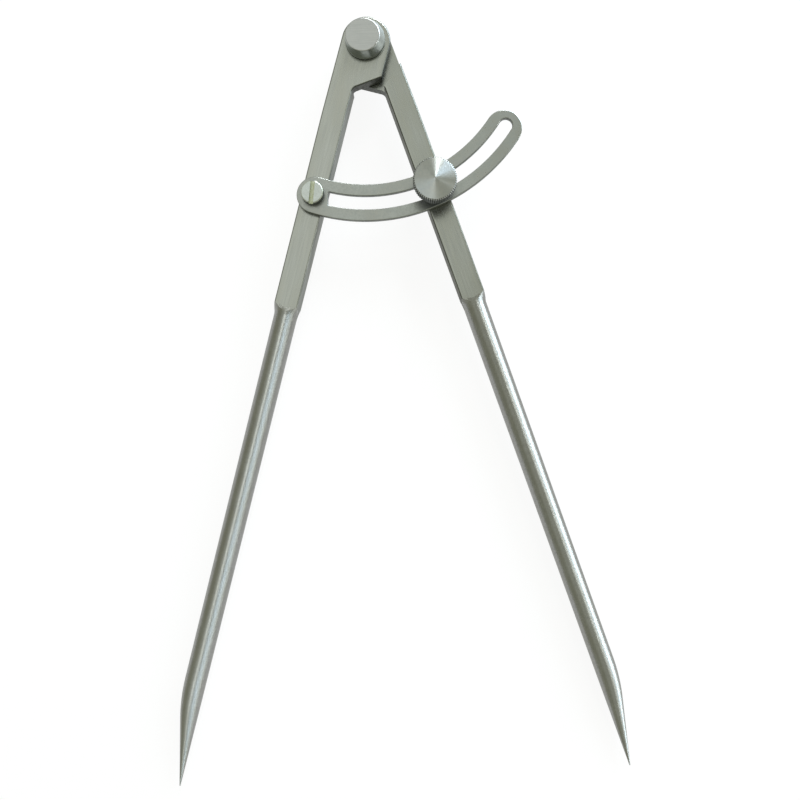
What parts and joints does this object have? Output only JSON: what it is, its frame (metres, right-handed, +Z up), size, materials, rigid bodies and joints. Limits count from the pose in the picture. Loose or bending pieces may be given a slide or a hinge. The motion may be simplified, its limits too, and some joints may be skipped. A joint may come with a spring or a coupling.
{
  "type": "roofer compass",
  "caption": "Steel wing compass for marking out on roofs: half-lapped square legs turned down to round rods with points, and a slotted arc that a knurled clamp screw locks.",
  "frame": {"origin": "centre of the pivot nut's flat rear face, on the pivot's axis; the compass lies on its back", "axes": "+Z up, out of the front face along the pivot's axis; the two points lie towards -Y, the left leg at -X and the right leg at +X; Y is the line halfway between the legs at rest"},
  "size_m": [0.1426, 0.2393, 0.0253],
  "materials": {
    "leg_steel": "satin ground flats, turned and tumbled rods",
    "arc_steel": "matt tumbled sheet",
    "pivot_steel": "turned, satin",
    "clamp_steel": "fine turned face, knurled rim",
    "screw_zinc": "bright zinc plate"
  },
  "bodies": {
    "left_leg_and_arc": {"left_leg": "leg_steel", "pivot_bolt": "pivot_steel", "pivot_nut": "pivot_steel", "wing_arc": "arc_steel", "arc_screw": "screw_zinc"},
    "right_leg": {"right_leg": "leg_steel"},
    "clamp_screw": {"clamp_screw": "clamp_steel"}
  },
  "joints": [
    {"name": "leg_hinge", "type": "hinge", "parent": "left_leg_and_arc", "child": "right_leg", "pos_m": [0, 0, 0.0083], "axis": [0, 0, 1], "range_deg": [-34, 33.3]},
    {"name": "clamp_turn", "type": "hinge", "parent": "right_leg", "child": "clamp_screw", "pos_m": [0.01884, -0.04793, 0.0149], "axis": [0, 0, 1], "range_deg": [0, 540]}
  ]
}
